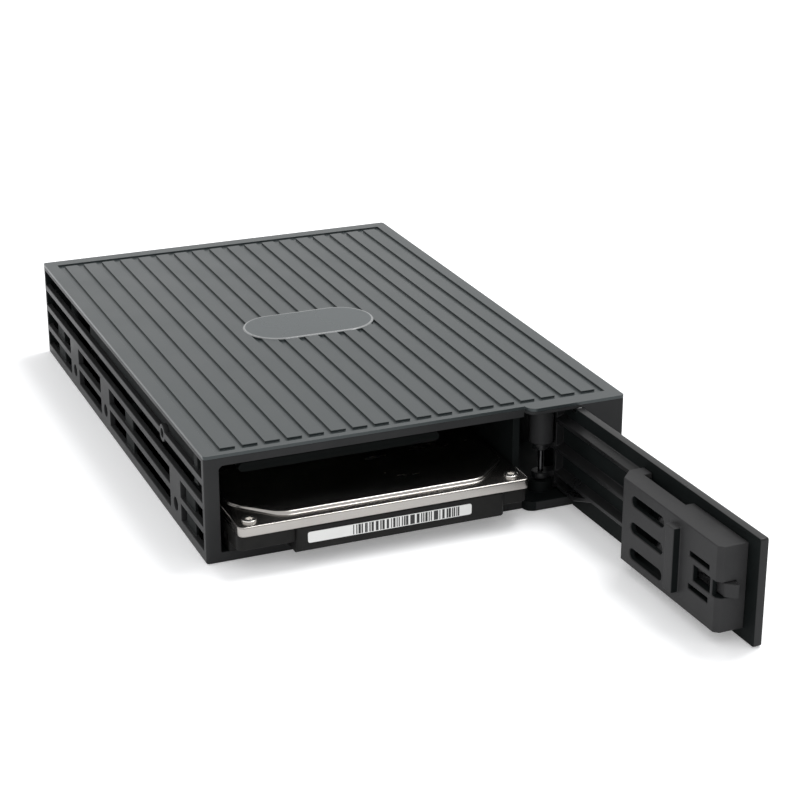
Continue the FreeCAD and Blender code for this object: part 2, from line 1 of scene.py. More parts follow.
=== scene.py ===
import bpy
import json
import math
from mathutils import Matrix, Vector

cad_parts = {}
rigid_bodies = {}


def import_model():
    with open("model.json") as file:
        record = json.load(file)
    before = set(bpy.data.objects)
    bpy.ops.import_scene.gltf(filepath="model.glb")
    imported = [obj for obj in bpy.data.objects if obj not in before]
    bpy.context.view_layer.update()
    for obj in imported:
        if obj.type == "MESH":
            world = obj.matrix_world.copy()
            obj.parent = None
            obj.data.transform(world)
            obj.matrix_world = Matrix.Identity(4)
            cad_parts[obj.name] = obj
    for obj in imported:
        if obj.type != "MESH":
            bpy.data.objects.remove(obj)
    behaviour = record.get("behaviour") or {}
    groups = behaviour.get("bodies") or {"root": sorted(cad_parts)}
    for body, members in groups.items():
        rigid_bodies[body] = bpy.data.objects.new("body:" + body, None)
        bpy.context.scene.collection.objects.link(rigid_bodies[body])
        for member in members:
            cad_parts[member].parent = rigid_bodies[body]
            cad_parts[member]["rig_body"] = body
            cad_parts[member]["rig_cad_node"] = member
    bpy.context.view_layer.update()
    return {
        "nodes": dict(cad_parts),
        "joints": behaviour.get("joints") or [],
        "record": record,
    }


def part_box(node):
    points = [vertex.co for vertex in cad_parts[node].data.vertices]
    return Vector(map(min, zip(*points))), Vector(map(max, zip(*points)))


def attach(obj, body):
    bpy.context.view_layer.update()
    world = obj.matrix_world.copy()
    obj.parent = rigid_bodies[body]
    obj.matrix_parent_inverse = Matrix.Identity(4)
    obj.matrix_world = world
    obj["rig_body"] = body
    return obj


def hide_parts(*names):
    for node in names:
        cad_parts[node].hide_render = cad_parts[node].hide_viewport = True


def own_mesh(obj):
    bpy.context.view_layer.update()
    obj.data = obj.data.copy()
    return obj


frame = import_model()
nodes = frame["nodes"]
bodies = frame["record"]["behaviour"]["bodies"]
joints = {j["name"]: j for j in frame["joints"]}
mm = 0.001
mergeGap = 0.002 * mm
touch = 0.001 * mm
flatAngle = math.radians(0.3)
# a face looks along a direction when their dot product passes facing, and noise mostly stays in noiseSpan
facing = 0.9
noiseSpan = (0.3, 0.7)
print("frame loaded,", len(nodes), "nodes")


def deselectAll():
    if bpy.context.object and bpy.context.object.mode != "OBJECT":
        bpy.ops.object.mode_set(mode="OBJECT")
    bpy.ops.object.select_all(action="DESELECT")


def pick(piece):
    deselectAll()
    piece.select_set(True)
    bpy.context.view_layer.objects.active = piece


def applyModifier(piece, modifier):
    pick(piece)
    bpy.ops.object.modifier_apply(modifier=modifier.name)


def settle(piece):
    # place, turn and size go into the mesh
    pick(piece)
    bpy.ops.object.transform_apply(location=True, rotation=True, scale=True)


def bodyOfNode(node):
    return next(body for body, members in bodies.items() if node in members)


def nodeCopy(node, name):
    # a CAD node's mesh is loose triangles, so its copy is merged and its flats are joined
    pick(nodes[node])
    bpy.ops.object.duplicate()
    piece = bpy.context.object
    piece.name = name
    piece.data.name = name
    piece.parent = None
    del piece["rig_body"]
    del piece["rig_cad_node"]
    bpy.ops.mesh.customdata_custom_splitnormals_clear()
    bpy.ops.object.mode_set(mode="EDIT")
    bpy.ops.mesh.select_all(action="SELECT")
    bpy.ops.mesh.remove_doubles(threshold=mergeGap)
    bpy.ops.mesh.dissolve_limited(angle_limit=flatAngle)
    bpy.ops.object.mode_set(mode="OBJECT")
    return piece


def selectEdges(piece, wanted):
    # leaves edit mode on, with the edges picked whose two ends suit
    pick(piece)
    bpy.ops.object.mode_set(mode="EDIT")
    bpy.ops.mesh.select_mode(type="EDGE")
    bpy.ops.mesh.select_all(action="DESELECT")
    bpy.ops.object.mode_set(mode="OBJECT")
    points = piece.data.vertices
    for edge in piece.data.edges:
        a, b = (points[i].co for i in edge.vertices)
        edge.select = bool(wanted(a, b))
    bpy.ops.object.mode_set(mode="EDIT")


def selectFaces(piece, wanted):
    # leaves edit mode on, with the faces picked that suit
    pick(piece)
    bpy.ops.object.mode_set(mode="EDIT")
    bpy.ops.mesh.select_mode(type="FACE")
    bpy.ops.mesh.select_all(action="DESELECT")
    bpy.ops.object.mode_set(mode="OBJECT")
    for face in piece.data.polygons:
        face.select = bool(wanted(face))
    bpy.ops.object.mode_set(mode="EDIT")


def softenEdges(piece, width, segments=2, angle=30):
    bevel = piece.modifiers.new("edges", "BEVEL")
    bevel.width = width * mm
    bevel.segments = segments
    bevel.limit_method = "ANGLE"
    bevel.angle_limit = math.radians(angle)
    bevel.use_clamp_overlap = False
    applyModifier(piece, bevel)


def smoothFaces(piece, angle=40):
    pick(piece)
    bpy.ops.object.shade_smooth_by_angle(angle=math.radians(angle))
    weighted = piece.modifiers.new("normals", "WEIGHTED_NORMAL")
    weighted.keep_sharp = True
    applyModifier(piece, weighted)


def coat(piece, *finishes):
    piece.data.materials.clear()
    for finish in finishes:
        piece.data.materials.append(finish)


def paintFaces(piece, finishOf, *finishes):
    # each face takes the one of the finishes that suits it
    coat(piece, *finishes)
    for face in piece.data.polygons:
        face.material_index = finishes.index(finishOf(face))


def seat(piece, node, finish):
    # the piece stands for its node and moves with the node's body
    coat(piece, finish)
    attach(piece, bodyOfNode(node))
    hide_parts(node)


# Finishes

def startFinish(name):
    finish = bpy.data.materials.new(name)
    finish.use_nodes = True
    tree = finish.node_tree
    shader = next(n for n in tree.nodes if n.type == "BSDF_PRINCIPLED")
    place = tree.nodes.new("ShaderNodeTexCoord")
    return finish, tree, shader, place.outputs["Object"]


def noiseOf(tree, coords, grain, detail=2.0, stretch=None):
    # grain is the size of one speck in millimetres
    if stretch:
        mapping = tree.nodes.new("ShaderNodeMapping")
        mapping.inputs["Scale"].default_value = stretch
        tree.links.new(coords, mapping.inputs["Vector"])
        coords = mapping.outputs["Vector"]
    noise = tree.nodes.new("ShaderNodeTexNoise")
    noise.inputs["Scale"].default_value = 1 / (grain * mm)
    noise.inputs["Detail"].default_value = detail
    tree.links.new(coords, noise.inputs["Vector"])
    return noise.outputs["Fac"]


def spreadOf(tree, factor, low, high):
    spread = tree.nodes.new("ShaderNodeMapRange")
    spread.inputs["From Min"].default_value = noiseSpan[0]
    spread.inputs["From Max"].default_value = noiseSpan[1]
    spread.inputs["To Min"].default_value = low
    spread.inputs["To Max"].default_value = high
    tree.links.new(factor, spread.inputs["Value"])
    return spread.outputs["Result"]


def twoTone(tree, factor, dark, light):
    ramp = tree.nodes.new("ShaderNodeValToRGB")
    ramp.color_ramp.elements[0].position = noiseSpan[0]
    ramp.color_ramp.elements[0].color = (*dark, 1)
    ramp.color_ramp.elements[1].position = noiseSpan[1]
    ramp.color_ramp.elements[1].color = (*light, 1)
    tree.links.new(factor, ramp.inputs["Fac"])
    return ramp.outputs["Color"]


def grainBump(tree, shader, factor, strength, depth):
    bump = tree.nodes.new("ShaderNodeBump")
    bump.inputs["Strength"].default_value = strength
    bump.inputs["Distance"].default_value = depth * mm
    tree.links.new(factor, bump.inputs["Height"])
    tree.links.new(bump.outputs["Normal"], shader.inputs["Normal"])


def mouldedPlastic(name, look):
    finish, tree, shader, coords = startFinish(name)
    cloud = noiseOf(tree, coords, look["cloud"], detail=3.0)
    grain = noiseOf(tree, coords, look["grain"], detail=1.0)
    tree.links.new(twoTone(tree, cloud, look["dark"], look["light"]), shader.inputs["Base Color"])
    tree.links.new(spreadOf(tree, cloud, *look["roughness"]), shader.inputs["Roughness"])
    shader.inputs["Specular IOR Level"].default_value = look["specular"]
    shader.inputs["Specular Tint"].default_value = (*look["tint"], 1)
    grainBump(tree, shader, grain, look["bump"], look["depth"])
    return finish


def wornMetal(name, look):
    # fine scratches run along one direction
    finish, tree, shader, coords = startFinish(name)
    shader.inputs["Metallic"].default_value = 1.0
    brush = noiseOf(tree, coords, look["grain"], detail=4.0, stretch=look["stretch"])
    cloud = noiseOf(tree, coords, look["cloud"])
    tree.links.new(twoTone(tree, cloud, look["dark"], look["light"]), shader.inputs["Base Color"])
    tree.links.new(spreadOf(tree, brush, *look["roughness"]), shader.inputs["Roughness"])
    shader.inputs["Specular Tint"].default_value = (*look["rim"], 1)
    grainBump(tree, shader, brush, look["bump"], look["depth"])
    return finish


def mathOf(tree, operation, *values):
    step = tree.nodes.new("ShaderNodeMath")
    step.operation = operation
    for socket, value in zip(step.inputs, values):
        if isinstance(value, (int, float)):
            socket.default_value = value
        else:
            tree.links.new(value, socket)
    return step.outputs[0]


def insideOf(tree, value, low, high):
    # 1 between the two limits and 0 outside
    above = mathOf(tree, "GREATER_THAN", value, low)
    below = mathOf(tree, "LESS_THAN", value, high)
    return mathOf(tree, "MULTIPLY", above, below)


def whiteRays(tree):
    # 1 for camera, glossy and transmitted rays and 0 for the rest
    path = tree.nodes.new("ShaderNodeLightPath").outputs
    seen = mathOf(tree, "MAXIMUM", path["Is Camera Ray"], path["Is Glossy Ray"])
    return mathOf(tree, "MAXIMUM", seen, path["Is Transmission Ray"])


def stripedPaper(name, look, low, high):
    # plain upright stripes of uneven width over part of the paper, between two corners of its box
    finish, tree, shader, coords = startFinish(name)
    axes = tree.nodes.new("ShaderNodeSeparateXYZ")
    tree.links.new(coords, axes.inputs["Vector"])
    stripes = tree.nodes.new("ShaderNodeTexNoise")
    stripes.noise_dimensions = "1D"
    stripes.inputs["Detail"].default_value = 0.0
    stripes.inputs["Scale"].default_value = 1 / (look["stripe"] * mm)
    tree.links.new(axes.outputs["X"], stripes.inputs["W"])
    inked = mathOf(tree, "GREATER_THAN", stripes.outputs["Fac"], look["share"])
    sides = (("X", look["along"], low.x, high.x), ("Z", look["across"], low.z, high.z))
    for axis, share, start, end in sides:
        limits = [start + part * (end - start) for part in share]
        inked = mathOf(tree, "MULTIPLY", inked, insideOf(tree, axes.outputs[axis], *limits))
    tree.links.new(twoTone(tree, inked, look["paper"], look["ink"]), shader.inputs["Base Color"])
    cloud = noiseOf(tree, coords, look["cloud"])
    tree.links.new(spreadOf(tree, cloud, *look["roughness"]), shader.inputs["Roughness"])
    return finish


def solderMask(name, look):
    # tracks show through the lacquer as slightly lighter lines
    finish, tree, shader, coords = startFinish(name)
    tracks = tree.nodes.new("ShaderNodeTexWave")
    tracks.inputs["Scale"].default_value = look["tracks"]
    tracks.inputs["Distortion"].default_value = look["waver"]
    tree.links.new(coords, tracks.inputs["Vector"])
    tree.links.new(
        twoTone(tree, tracks.outputs["Fac"], look["dark"], look["light"]), shader.inputs["Base Color"]
    )
    shader.inputs["Roughness"].default_value = look["gloss"]
    grainBump(tree, shader, tracks.outputs["Fac"], look["bump"], look["depth"])
    return finish


housingLook = dict(dark=(0.0285, 0.029, 0.0298), light=(0.0335, 0.034, 0.0348), cloud=9.0, grain=0.35,
                   roughness=(0.3, 0.38), specular=0.06, tint=(1, 1, 1), bump=0.1, depth=0.02)
# painted shade: a darker, matt plastic laid on inner and recessed faces where shade falls (bay, hinge foot,
# cover bar, door inside, latch vents, fin sides)
paintedShadeLook = dict(dark=(0.005, 0.0064, 0.0064), light=(0.008, 0.0102, 0.0102), cloud=9.0, grain=0.35,
                  roughness=(0.55, 0.68), specular=0.08, tint=(1, 1, 1), bump=0.1, depth=0.02)
coverLook = dict(dark=(0.021, 0.0263, 0.0276), light=(0.027, 0.0328, 0.034), cloud=14.0, grain=0.3,
                 roughness=(0.28, 0.36), specular=0.5, tint=(0.92, 0.985, 1.0), bump=0.1, depth=0.02)
padLook = dict(dark=(0.029, 0.037, 0.0395), light=(0.034, 0.043, 0.0455), cloud=20.0, grain=0.6,
               roughness=(0.26, 0.3), specular=0.5, tint=(0.93, 0.985, 1.0), bump=0.04, depth=0.01)
# painted highlight: a pale rim round the pad stands in for light caught by its edge
padRimHighlightLook = dict(dark=(0.2, 0.206, 0.208), light=(0.24, 0.247, 0.249), cloud=4.0, grain=0.6,
                  roughness=(0.24, 0.3), specular=0.5, tint=(1, 1, 1), bump=0.04, depth=0.01)
doorLook = dict(dark=(0.0105, 0.0108, 0.0112), light=(0.0145, 0.0148, 0.0153), cloud=8.0, grain=0.35,
                roughness=(0.26, 0.36), specular=0.22, tint=(1, 1, 1), bump=0.1, depth=0.02)
latchLook = dict(dark=(0.037, 0.037, 0.0378), light=(0.043, 0.043, 0.0438), cloud=6.0, grain=0.3,
                 roughness=(0.4, 0.48), specular=0.06, tint=(1, 1, 1), bump=0.12, depth=0.02)
connectorLook = dict(dark=(0.01, 0.01, 0.011), light=(0.016, 0.016, 0.017), cloud=4.0, grain=0.4,
                     roughness=(0.3, 0.4), specular=0.5, tint=(1, 1, 1), bump=0.08, depth=0.02)
castingLook = dict(dark=(0.008, 0.008, 0.0077), light=(0.0125, 0.0123, 0.0117), cloud=3.0, grain=0.25,
                   roughness=(0.4, 0.52), specular=0.13, tint=(1, 1, 1), bump=0.25, depth=0.03)
labelLook = dict(paper=(0.79, 0.795, 0.78), ink=(0.012, 0.012, 0.0125), cloud=6.0, roughness=(0.45, 0.55),
                 stripe=0.52, share=0.48, along=(0.27, 0.93), across=(0.06, 0.94))
coverSteelLook = dict(dark=(0.35, 0.334, 0.316), light=(0.395, 0.378, 0.359), cloud=18.0, grain=6.0,
                      stretch=(0.3, 1.0, 1.0), roughness=(0.2, 0.28), rim=(1, 1, 1), bump=0.02, depth=0.01)
screwSteelLook = dict(dark=(0.76, 0.74, 0.71), light=(0.86, 0.84, 0.81), cloud=2.0, grain=0.6,
                      stretch=(1.0, 1.0, 1.0), roughness=(0.18, 0.28), rim=(1, 1, 1), bump=0.08, depth=0.01)
pinSteelLook = dict(dark=(0.06, 0.06, 0.062), light=(0.085, 0.085, 0.087), cloud=2.0, grain=0.8,
                    stretch=(1.0, 1.0, 0.1), roughness=(0.24, 0.32), rim=(0.1, 0.1, 0.1),
                    bump=0.05, depth=0.01)
giltLook = dict(dark=(0.72, 0.5, 0.18), light=(0.86, 0.63, 0.26), cloud=1.5, grain=0.5,
                stretch=(1.0, 0.2, 1.0), roughness=(0.22, 0.36), rim=(1, 1, 1), bump=0.05, depth=0.01)
boardLook = dict(dark=(0.012, 0.075, 0.034), light=(0.02, 0.12, 0.052), tracks=260.0, waver=1.5, gloss=0.32,
                 bump=0.3, depth=0.03)

housingPlastic = mouldedPlastic("housingPlastic", housingLook)
paintedShadePlastic = mouldedPlastic("paintedShadePlastic", paintedShadeLook)
coverPlastic = mouldedPlastic("coverPlastic", coverLook)
padPlastic = mouldedPlastic("padPlastic", padLook)
padRimPaintedHighlight = mouldedPlastic("padRimPaintedHighlight", padRimHighlightLook)
doorPlastic = mouldedPlastic("doorPlastic", doorLook)
latchPlastic = mouldedPlastic("latchPlastic", latchLook)
connectorPlastic = mouldedPlastic("connectorPlastic", connectorLook)
driveCasting = mouldedPlastic("driveCasting", castingLook)
labelPaper = stripedPaper("labelPaper", labelLook, *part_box("drive_label"))
driveSteel = wornMetal("driveSteel", coverSteelLook)
screwSteel = wornMetal("screwSteel", screwSteelLook)
pinSteel = wornMetal("pinSteel", pinSteelLook)
gilt = wornMetal("gilt", giltLook)
boardLacquer = solderMask("boardLacquer", boardLook)
print("finishes made")


# Housing: the shell, with every edge softened as a mould leaves it, and painted shade as a dark matt finish
# inside the bay and at the hinge foot

baseShell = dict(edge=0.18, wall=1.35, skin=0.5, front=3.9, floorTop=2.3, foot=4.0)
shell = nodeCopy("base_shell", "baseShell")
softenEdges(shell, baseShell["edge"])
smoothFaces(shell)
seat(shell, "base_shell", housingPlastic)
shellLow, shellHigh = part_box("base_shell")
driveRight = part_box("drive_base")[1].x


def shellFinish(face):
    spot = face.center
    across = min(spot.x - shellLow.x, shellHigh.x - spot.x)
    outward = abs(face.normal.x) > facing
    inward = across > baseShell["skin" if outward else "wall"] * mm
    rear = shellHigh.y - baseShell["wall"] * mm
    behind = shellLow.y + baseShell["front"] * mm < spot.y < rear
    besideDrive = driveRight < spot.x < shellHigh.x - baseShell["wall"] * mm
    # painted shade: faces inside the bay and around the hinge foot get the darker plastic
    paintedShadeAtHingeFoot = besideDrive and spot.z < baseShell["foot"] * mm and face.normal.z > -facing
    paintedShadeInBay = inward and behind and spot.z > baseShell["floorTop"] * mm
    return paintedShadePlastic if paintedShadeInBay or paintedShadeAtHingeFoot else housingPlastic


paintFaces(shell, shellFinish, housingPlastic, paintedShadePlastic)
print("shell done")


# Ribbed cover, with a smoother oval pad in a rim with a painted highlight

topCover = dict(edge=0.06, padTop=25.985, padFoot=25.82, padRim=0.28, padLevel=0.999,
                inside=23.9, barEnd=12.0)
cover = nodeCopy("top_cover", "topCover")
softenEdges(cover, topCover["edge"])


def onPad(face):
    return face.center.z > topCover["padTop"] * mm and face.normal.z > topCover["padLevel"]


selectFaces(cover, onPad)
bpy.ops.mesh.region_to_loop()
bpy.ops.mesh.mark_sharp()
selectFaces(cover, onPad)
bpy.ops.mesh.inset(thickness=topCover["padRim"] * mm)
bpy.ops.object.mode_set(mode="OBJECT")
padFaces = {face.index for face in cover.data.polygons if face.select}
smoothFaces(cover)
seat(cover, "top_cover", coverPlastic)


def coverFinish(face):
    if face.index in padFaces:
        return padPlastic
    # painted highlight: the pad's rim and edge faces get the pale rim plastic
    if face.center.z > topCover["padFoot"] * mm:
        return padRimPaintedHighlight
    if face.center.z > topCover["inside"] * mm:
        return coverPlastic
    # painted shade: cover faces below the top, left of barEnd, get the darker plastic
    return housingPlastic if face.center.x > topCover["barEnd"] * mm else paintedShadePlastic


paintFaces(cover, coverFinish, coverPlastic, padPlastic, housingPlastic, paintedShadePlastic, padRimPaintedHighlight)
print("cover done")


# Door, latch housing and slider

doorPanel = dict(edge=0.22, ribTip=2.8, ribNear=0.05, ribRound=0.35, ribSteps=4)
door = nodeCopy("door_panel", "doorPanel")
hinge = Vector(joints["door_swing"]["pos_m"])
doorAlong = Vector(joints["latch_slide"]["axis"])
doorNormal = doorAlong.cross(Vector((0, 0, 1)))


def onRibTip(point):
    return abs((point - hinge).dot(doorNormal) - doorPanel["ribTip"] * mm) < doorPanel["ribNear"] * mm


selectEdges(door, lambda a, b: onRibTip(a) and onRibTip(b))
bpy.ops.mesh.bevel(offset=doorPanel["ribRound"] * mm, segments=doorPanel["ribSteps"], clamp_overlap=True)
bpy.ops.object.mode_set(mode="OBJECT")
softenEdges(door, doorPanel["edge"])
smoothFaces(door)
seat(door, "door_panel", doorPlastic)


# painted shade: the door's flat inner face, apart from the rib tips, gets the darker plastic
def doorFinish(face):
    paintedShadeInnerFace = face.normal.dot(doorNormal) < -facing
    return paintedShadePlastic if paintedShadeInnerFace and not onRibTip(face.center) else doorPlastic


paintFaces(door, doorFinish, doorPlastic, paintedShadePlastic)

latchHousing = dict(edge=0.25, edgeSteps=3, face=-1.95, skin=0.35, rim=1.2, slope=3.4, fin=0.4)
latchBox = nodeCopy("latch_housing", "latchHousing")
softenEdges(latchBox, latchHousing["edge"], latchHousing["edgeSteps"])
smoothFaces(latchBox)
seat(latchBox, "latch_housing", latchPlastic)
boxLow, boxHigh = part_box("latch_housing")
reach = [abs((v.co - hinge).dot(doorAlong)) for v in latchBox.data.vertices]
nearEnd = min(reach) + latchHousing["slope"] * mm
farEnd = max(reach) - latchHousing["rim"] * mm


# painted shade: the walls inside the vents and the fin's sides get the darker plastic
def latchFinish(face):
    offset = face.center - hinge
    height = offset.dot(doorNormal)
    rim = latchHousing["rim"] * mm
    sunk = height > (latchHousing["face"] + latchHousing["skin"]) * mm
    between = boxLow.z + rim < face.center.z < boxHigh.z - rim
    paintedShadeInVent = sunk and between and nearEnd < abs(offset.dot(doorAlong)) < farEnd
    onFin = height < (latchHousing["face"] - latchHousing["fin"]) * mm
    paintedShadeFinSide = onFin and abs(face.normal.dot(doorAlong)) > facing
    return paintedShadePlastic if paintedShadeInVent or paintedShadeFinSide else latchPlastic


paintFaces(latchBox, latchFinish, latchPlastic, paintedShadePlastic)

latchSlider = dict(edge=0.15)
slider = nodeCopy("latch_slider", "latchSlider")
softenEdges(slider, latchSlider["edge"])
smoothFaces(slider)
seat(slider, "latch_slider", latchPlastic)
print("door and latch done")


# Latch spring: a round wire wound into a coil

latchSpring = dict(wire=0.22, radius=1.25, length=5.4, turns=3, steps=28, sides=10, smooth=60, keep=0.56)


def woundSpring(look):
    deselectAll()
    bpy.ops.mesh.primitive_circle_add(vertices=look["sides"], radius=look["wire"] * mm)
    coil = bpy.context.object
    coil.name = "latchSpring"
    bpy.ops.object.mode_set(mode="EDIT")
    bpy.ops.mesh.select_all(action="SELECT")
    bpy.ops.transform.rotate(
        value=math.pi / 2, orient_axis="X", orient_type="GLOBAL", center_override=(0, 0, 0)
    )
    bpy.ops.transform.translate(value=(look["radius"] * mm, 0, -look["length"] * mm / 2))
    bpy.ops.object.mode_set(mode="OBJECT")
    winding = coil.modifiers.new("winding", "SCREW")
    winding.axis = "Z"
    winding.angle = 2 * math.pi
    winding.screw_offset = look["length"] * mm / look["turns"]
    winding.iterations = look["turns"]
    winding.steps = look["steps"]
    winding.render_steps = look["steps"]
    applyModifier(coil, winding)
    bpy.ops.object.mode_set(mode="EDIT")
    bpy.ops.mesh.select_all(action="SELECT")
    bpy.ops.mesh.fill_holes(sides=0)
    bpy.ops.mesh.normals_make_consistent(inside=False)
    bpy.ops.object.mode_set(mode="OBJECT")
    low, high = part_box("latch_spring")
    coil.rotation_euler = doorAlong.to_track_quat("Z", "Y").to_euler()
    coil.location = (low + high) / 2
    settle(coil)
    smoothFaces(coil, look["smooth"])
    return coil, (low + high) / 2 + doorAlong * (high - low).y / 2


spring, springSeat = woundSpring(latchSpring)
seat(spring, "latch_spring", screwSteel)
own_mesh(spring)
print("spring done")


# Screws: a pan head with a driven recess, made once for each kind and copied to its places

headMake = dict(sides=36, rounds=4, profile=0.6, over=1.0, smooth=35)


def recessTool(points, depthFrom, depthTo, outer, inner):
    # a cutter with the given number of lobes
    deselectAll()
    bpy.ops.mesh.primitive_cylinder_add(
        vertices=2 * points, radius=outer * mm, depth=(depthTo - depthFrom) * mm,
        location=(0, 0, (depthFrom + depthTo) / 2 * mm),
    )
    tool = bpy.context.object
    settle(tool)
    for v in tool.data.vertices:
        turn = math.degrees(math.atan2(v.co.y, v.co.x)) % (360 / points)
        if abs(turn - 180 / points) < 1 / points:
            v.co.x *= inner / outer
            v.co.y *= inner / outer
    return tool


def panScrew(look):
    # the head stands on z = 0 with its recess upwards, and the shank goes down
    deselectAll()
    bpy.ops.mesh.primitive_cylinder_add(
        vertices=headMake["sides"], radius=look["head"] * mm, depth=look["headHigh"] * mm,
        location=(0, 0, look["headHigh"] / 2 * mm),
    )
    screw = bpy.context.object
    settle(screw)
    top = look["headHigh"] * mm
    selectEdges(screw, lambda a, b: min(a.z, b.z) > top - touch)
    bpy.ops.mesh.bevel(offset=look["round"] * mm, segments=headMake["rounds"], profile=headMake["profile"])
    bpy.ops.object.mode_set(mode="OBJECT")
    if look["shank"]:
        selectFaces(screw, lambda face: face.normal.z < -facing)
        bpy.ops.mesh.inset(thickness=(look["head"] - look["shankR"]) * mm)
        bpy.ops.mesh.extrude_region_move(TRANSFORM_OT_translate={"value": (0, 0, -look["shank"] * mm)})
        bpy.ops.object.mode_set(mode="OBJECT")
    tool = recessTool(
        look["lobes"], look["headHigh"] - look["deep"], look["headHigh"] + headMake["over"],
        look["outer"], look["inner"],
    )
    cut = screw.modifiers.new("recess", "BOOLEAN")
    cut.operation = "DIFFERENCE"
    cut.solver = "EXACT"
    cut.object = tool
    applyModifier(screw, cut)
    bpy.data.objects.remove(tool)
    smoothFaces(screw, headMake["smooth"])
    return screw


def placeScrews(first, name, places, upsideDown=False):
    copies = []
    for place in places:
        pick(first)
        bpy.ops.object.duplicate()
        copy = bpy.context.object
        copy.location = place
        if upsideDown:
            copy.rotation_euler = (math.pi, 0, 0)
        settle(copy)
        copies.append(copy)
    bpy.data.objects.remove(first)
    deselectAll()
    for copy in copies:
        copy.select_set(True)
    bpy.context.view_layer.objects.active = copies[0]
    bpy.ops.object.join()
    copies[0].name = name
    return copies[0]


def solidCentres(node):
    # the middle of each loose solid of a node, in plan
    pick(nodes[node])
    bpy.ops.object.duplicate()
    bpy.ops.object.mode_set(mode="EDIT")
    bpy.ops.mesh.select_all(action="SELECT")
    bpy.ops.mesh.remove_doubles(threshold=mergeGap)
    bpy.ops.mesh.separate(type="LOOSE")
    bpy.ops.object.mode_set(mode="OBJECT")
    centres = []
    for part in list(bpy.context.selected_objects):
        xs = [v.co.x for v in part.data.vertices]
        ys = [v.co.y for v in part.data.vertices]
        centres.append(((min(xs) + max(xs)) / 2, (min(ys) + max(ys)) / 2))
        bpy.data.objects.remove(part)
    return sorted(centres)


driveScrew = dict(head=1.7, headHigh=0.5, round=0.2, shank=0, shankR=0,
                  lobes=6, outer=0.95, inner=0.65, deep=0.35)
low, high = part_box("drive_cover_screws")
screws = placeScrews(
    panScrew(driveScrew), "driveCoverScrews",
    [(x, y, low.z) for x, y in solidCentres("drive_cover_screws")],
)
seat(screws, "drive_cover_screws", screwSteel)

boardScrew = dict(head=2.2, headHigh=1.2, round=0.5, shank=4.5, shankR=1.1,
                  lobes=4, outer=1.3, inner=0.45, deep=0.7)
low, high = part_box("board_screws")
screws = placeScrews(
    panScrew(boardScrew), "boardScrews",
    [(x, y, high.z - boardScrew["headHigh"] * mm) for x, y in solidCentres("board_screws")],
)
seat(screws, "board_screws", screwSteel)

coverScrew = dict(head=2.2, headHigh=1.1, round=0.35, shank=7.9, shankR=1.1,
                  lobes=4, outer=1.3, inner=0.45, deep=0.7)
low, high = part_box("cover_screws")
screws = placeScrews(
    panScrew(coverScrew), "coverScrews",
    [(x, y, low.z + coverScrew["headHigh"] * mm) for x, y in solidCentres("cover_screws")],
    upsideDown=True,
)
seat(screws, "cover_screws", screwSteel)
print("screws done")


# Drive: casting, pressed cover with a rounded crown, and a label of plain stripes

driveBase = dict(edge=0.2, edgeSteps=3)
casting = nodeCopy("drive_base", "driveBase")
softenEdges(casting, driveBase["edge"], driveBase["edgeSteps"])
smoothFaces(casting)
seat(casting, "drive_base", driveCasting)

driveCover = dict(crown=0.65, crownSteps=4, rim=0.4, rimSteps=3, bead=0.6, dip=0.2, angle=50)
low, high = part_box("drive_cover")
pressed = nodeCopy("drive_cover", "driveCover")
selectEdges(pressed, lambda a, b: min(a.z, b.z) > high.z - touch)
bpy.ops.mesh.bevel(offset=driveCover["crown"] * mm, segments=driveCover["crownSteps"], clamp_overlap=True)
selectFaces(pressed, lambda face: face.center.z > high.z - touch)
bpy.ops.mesh.inset(thickness=driveCover["bead"] * mm, depth=-driveCover["dip"] * mm)
bpy.ops.object.mode_set(mode="OBJECT")
softenEdges(pressed, driveCover["rim"], driveCover["rimSteps"], driveCover["angle"])
smoothFaces(pressed, driveCover["angle"])
seat(pressed, "drive_cover", driveSteel)

driveLabel = dict(corner=0.5, cornerSteps=5)
low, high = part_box("drive_label")
deselectAll()
bpy.ops.mesh.primitive_plane_add(
    size=1, location=((low.x + high.x) / 2, high.y, (low.z + high.z) / 2), rotation=(math.pi / 2, 0, 0)
)
label = bpy.context.object
label.name = "driveLabel"
label.scale = (high.x - low.x, high.z - low.z, 1)
settle(label)
bpy.ops.object.mode_set(mode="EDIT")
bpy.ops.mesh.select_all(action="SELECT")
bpy.ops.mesh.bevel(offset=driveLabel["corner"] * mm, segments=driveLabel["cornerSteps"], affect="VERTICES")
bpy.ops.object.mode_set(mode="OBJECT")
paper = label.modifiers.new("paper", "SOLIDIFY")
paper.thickness = high.y - low.y
paper.offset = 1
applyModifier(label, paper)
seat(label, "drive_label", labelPaper)
print("drive done")


# Boards, connectors, contacts and the hinge pin

boards = dict(edge=0.1, slot="board", finish=boardLacquer)
connectors = dict(edge=0.1, slot="connector_plastic", finish=connectorPlastic)
contacts = dict(edge=0.03, slot="gilt", finish=gilt)
pins = dict(edge=0.2, slot="steel", finish=pinSteel)
plainPieces = (
    dict(node="adapter_board", name="adapterBoard", **boards),
    dict(node="drive_board", name="driveBoard", **boards),
    dict(node="drive_socket", name="driveSocket", **connectors),
    dict(node="host_plug", name="hostPlug", **connectors),
    dict(node="drive_plug", name="drivePlug", **connectors),
    dict(node="hinge_pin", name="hingePin", **pins),
    dict(node="socket_tails", name="socketTails", **contacts),
    dict(node="host_contacts", name="hostContacts", **contacts),
    dict(node="drive_contacts", name="driveContacts", **contacts),
)
for plain in plainPieces:
    piece = nodeCopy(plain["node"], plain["name"])
    softenEdges(piece, plain["edge"])
    smoothFaces(piece)
    seat(piece, plain["node"], plain["finish"])
print("boards and connectors done")


# Floor, light and camera

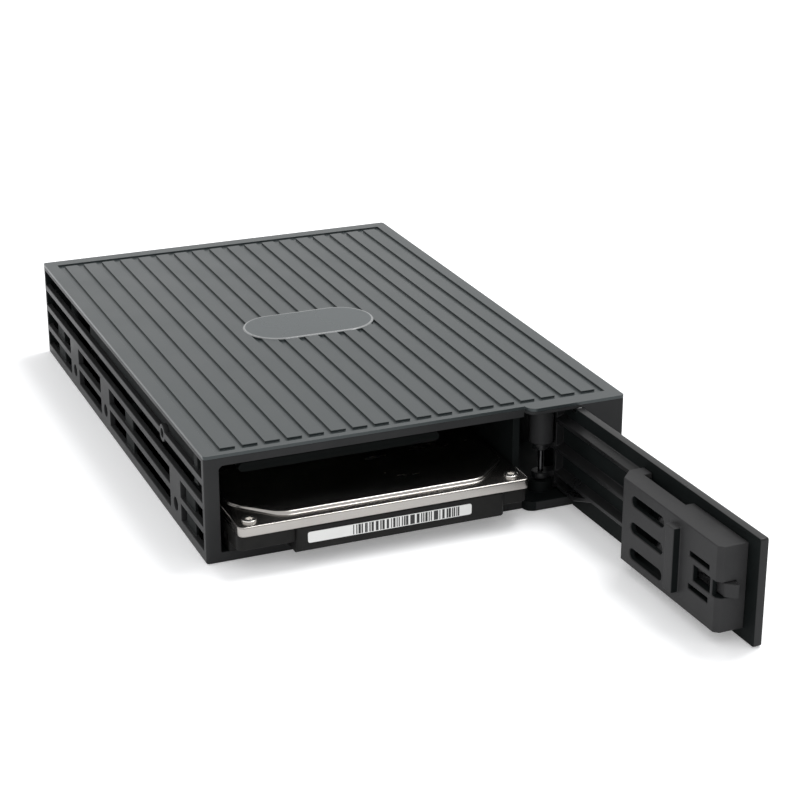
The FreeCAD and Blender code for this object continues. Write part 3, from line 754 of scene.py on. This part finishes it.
floorSettings = dict(size=8.0, drop=0.1, colour=(0.9, 0.906, 0.918), shade=0.98, cloud=300.0,
                     roughness=0.9, lift=0.25)
deselectAll()
bpy.ops.mesh.primitive_plane_add(size=floorSettings["size"], location=(0, 0, -floorSettings["drop"] * mm))
floor = bpy.context.object
floor.name = "floor"
floorFinish, tree, shader, coords = startFinish("paleFloor")
shader.inputs["Roughness"].default_value = floorSettings["roughness"]
pale = floorSettings["colour"]
shaded = [part * floorSettings["shade"] for part in pale]
cloud = noiseOf(tree, coords, floorSettings["cloud"])
tree.links.new(twoTone(tree, cloud, shaded, pale), shader.inputs["Base Color"])
glow = tree.nodes.new("ShaderNodeEmission")
both = tree.nodes.new("ShaderNodeAddShader")
out = next(n for n in tree.nodes if n.type == "OUTPUT_MATERIAL")
lift = mathOf(tree, "MULTIPLY", whiteRays(tree), floorSettings["lift"])
tree.links.new(lift, glow.inputs["Strength"])
tree.links.new(shader.outputs["BSDF"], both.inputs[0])
tree.links.new(glow.outputs["Emission"], both.inputs[1])
tree.links.new(both.outputs["Shader"], out.inputs["Surface"])
coat(floor, floorFinish)

roomLight = dict(fill=0.9, seen=1.0)
world = bpy.data.worlds.new("studio")
bpy.context.scene.world = world
world.use_nodes = True
tree = world.node_tree
sky = next(n for n in tree.nodes if n.type == "BACKGROUND")
sky.inputs["Color"].default_value = (1, 1, 1, 1)
level = tree.nodes.new("ShaderNodeMapRange")
level.inputs["To Min"].default_value = roomLight["fill"]
level.inputs["To Max"].default_value = roomLight["seen"]
tree.links.new(whiteRays(tree), level.inputs["Value"])
tree.links.new(level.outputs["Result"], sky.inputs["Strength"])

overheadBox = dict(place=(0.42, 0.12, 0.95), aim=(0, 0, 0.01), size=0.4, power=6.0)
lamp = bpy.data.lights.new("overheadBox", "AREA")
lamp.shape = "SQUARE"
lamp.size = overheadBox["size"]
lamp.energy = overheadBox["power"]
holder = bpy.data.objects.new("overheadBox", lamp)
bpy.context.scene.collection.objects.link(holder)
holder.location = overheadBox["place"]
beam = Vector(overheadBox["aim"]) - Vector(overheadBox["place"])
holder.rotation_euler = beam.to_track_quat("-Z", "Y").to_euler()

shot = dict(azimuth=-22.59, elevation=21.8, lens=92.25, sensor=36, nearest=0.01, farthest=50,
            target=(0, -0.00391, 0.01392), away=0.5246, slideRight=0.0223, slideUp=-0.00765)
azimuth = math.radians(shot["azimuth"])
elevation = math.radians(shot["elevation"])
outward = math.cos(elevation)
back = Vector((math.sin(azimuth) * outward, -math.cos(azimuth) * outward, math.sin(elevation)))
right = Vector((math.cos(azimuth), math.sin(azimuth), 0))
camera = bpy.data.cameras.new("camera")
camera.lens = shot["lens"]
camera.sensor_width = shot["sensor"]
camera.clip_start = shot["nearest"]
camera.clip_end = shot["farthest"]
stand = bpy.data.objects.new("camera", camera)
bpy.context.scene.collection.objects.link(stand)
slide = right * shot["slideRight"] + back.cross(right) * shot["slideUp"]
stand.location = Vector(shot["target"]) + back * shot["away"] + slide
stand.rotation_euler = (-back).to_track_quat("-Z", "Y").to_euler()
bpy.context.scene.camera = stand
bpy.context.scene.view_settings.view_transform = "Standard"
print("stage done")
